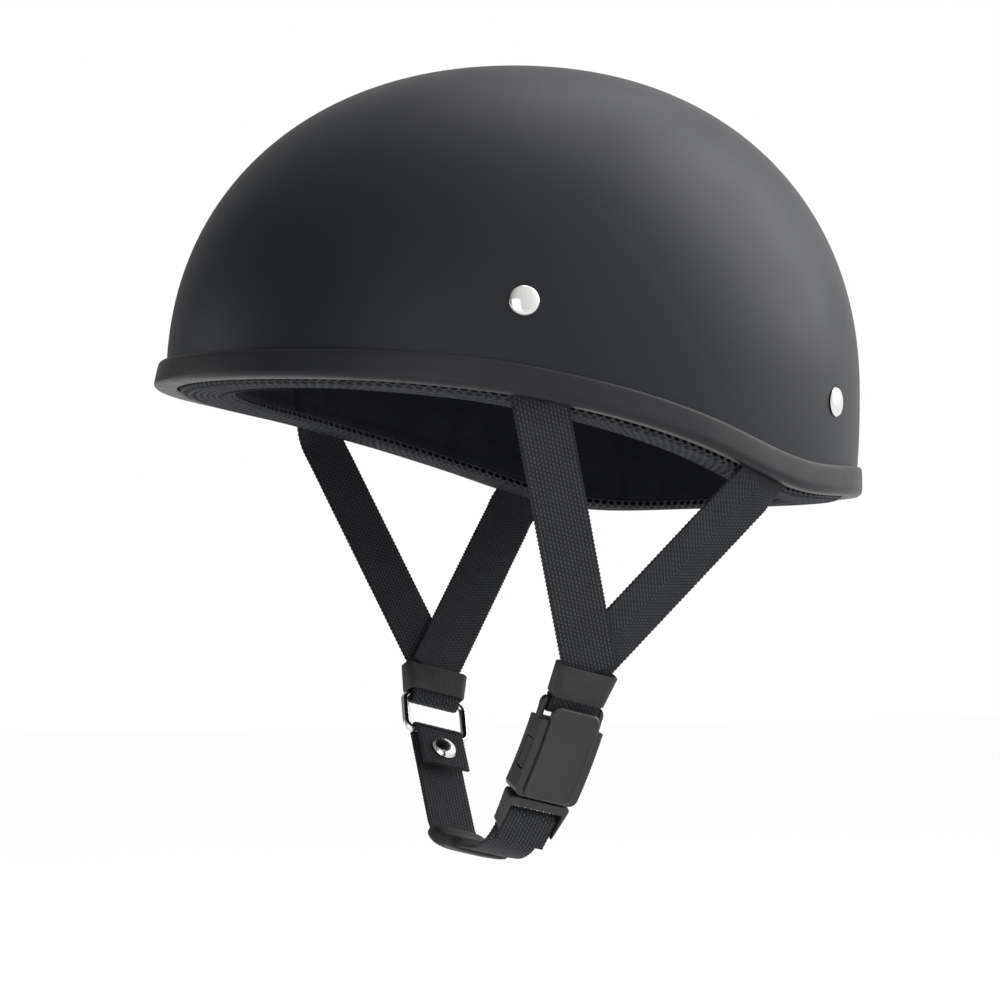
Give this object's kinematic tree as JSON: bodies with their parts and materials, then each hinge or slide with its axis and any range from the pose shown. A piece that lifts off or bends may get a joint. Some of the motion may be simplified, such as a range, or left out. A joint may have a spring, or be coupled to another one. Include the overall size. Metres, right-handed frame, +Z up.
{
  "type": "half shell motorcycle helmet",
  "caption": "Open half-shell riding helmet with foam liner, riveted webbing side straps and a chin strap closed by a side-release buckle and a snapped ring.",
  "frame": {"origin": "centre of the dome at its widest level section, inside the liner where the head sits", "axes": "+Z up through the crown, -Y to the front of the helmet, +X to the wearer's left"},
  "size_m": [0.2218, 0.2699, 0.2949],
  "materials": {
    "shell": "satin black moulded shell",
    "edging": "satin black rubber",
    "foam": "black bead foam",
    "lining": "black brushed fabric",
    "mesh": "black open mesh",
    "webbing": "black woven webbing",
    "nickel": "bright nickel plate",
    "washer": "plain steel",
    "keeper": "black moulded keeper",
    "buckle": "black moulded buckle",
    "pad": "black smooth vinyl"
  },
  "bodies": {
    "helmet": {"outer_shell": "shell", "edge_trim": "edging", "foam_liner": "foam", "lining_band": "lining", "crown_lining": "lining", "mesh_band": "mesh", "left_front_rivet": "nickel", "left_front_washer": "washer", "left_front_strap_end": "webbing", "left_rear_rivet": "nickel", "left_rear_washer": "washer", "left_rear_strap_end": "webbing", "right_front_rivet": "nickel", "right_front_washer": "washer", "right_front_strap_end": "webbing", "right_rear_rivet": "nickel", "right_rear_washer": "washer", "right_rear_strap_end": "webbing"},
    "left_side": {"left_strap": "webbing", "left_keeper": "keeper", "buckle_socket": "buckle"},
    "right_side": {"right_strap": "webbing", "right_keeper": "keeper"},
    "ring": {"ring": "nickel"},
    "chin": {"chin_strap": "webbing", "chin_pad": "pad", "buckle_plug": "buckle", "snap_stud": "nickel", "snap_post": "nickel"},
    "flap": {"snap_flap": "webbing", "snap_cap": "nickel", "snap_socket": "nickel"},
    "front_arm": {"front_release_arm": "buckle"},
    "rear_arm": {"rear_release_arm": "buckle"}
  },
  "joints": [
    {"name": "right_strap_swing", "type": "hinge", "parent": "helmet", "child": "right_side", "pos_m": [-0.09803, -0.04316, -0.01296], "axis": [0.0244, 0.958, -0.2856], "range_deg": [0, 24], "deforming": ["front_release_arm", "rear_release_arm"]},
    {"name": "left_strap_swing", "type": "hinge", "parent": "helmet", "child": "left_side", "pos_m": [0.09803, -0.04316, -0.01296], "axis": [-0.0244, 0.958, -0.2856], "range_deg": [-4.8, 0]},
    {"name": "ring_swing", "type": "hinge", "parent": "right_side", "child": "ring", "pos_m": [-0.0584, -0.01133, -0.11703], "axis": [0, 0.9732, -0.23], "range_deg": [0, 7.2]},
    {"name": "chin_strap_swing", "type": "hinge", "parent": "ring", "child": "chin", "pos_m": [-0.04917, -0.01436, -0.12987], "axis": [0, 0.9732, -0.23], "range_deg": [0, 48]},
    {"name": "snap_flap_lift", "type": "hinge", "parent": "chin", "child": "flap", "pos_m": [-0.04666, -0.01391, -0.12798], "axis": [0, 0.9732, -0.23], "range_deg": [-110, 0]},
    {"name": "front_arm_squeeze", "type": "hinge", "parent": "chin", "child": "front_arm", "pos_m": [0.04769, -0.02655, -0.14667], "axis": [-0.8844, 0.1074, 0.4543], "range_deg": [0, 7.4], "stiffness_Nm_per_rad": 0.02},
    {"name": "rear_arm_squeeze", "type": "hinge", "parent": "chin", "child": "rear_arm", "pos_m": [0.04769, -0.01098, -0.15035], "axis": [0.8844, -0.1074, -0.4543], "range_deg": [0, 7.4], "stiffness_Nm_per_rad": 0.02}
  ],
  "couplings": [
    {"joint": "left_strap_swing", "follows": "right_strap_swing", "ratio": -0.2},
    {"joint": "ring_swing", "follows": "right_strap_swing", "ratio": 0.3},
    {"joint": "chin_strap_swing", "follows": "right_strap_swing", "ratio": 2}
  ]
}
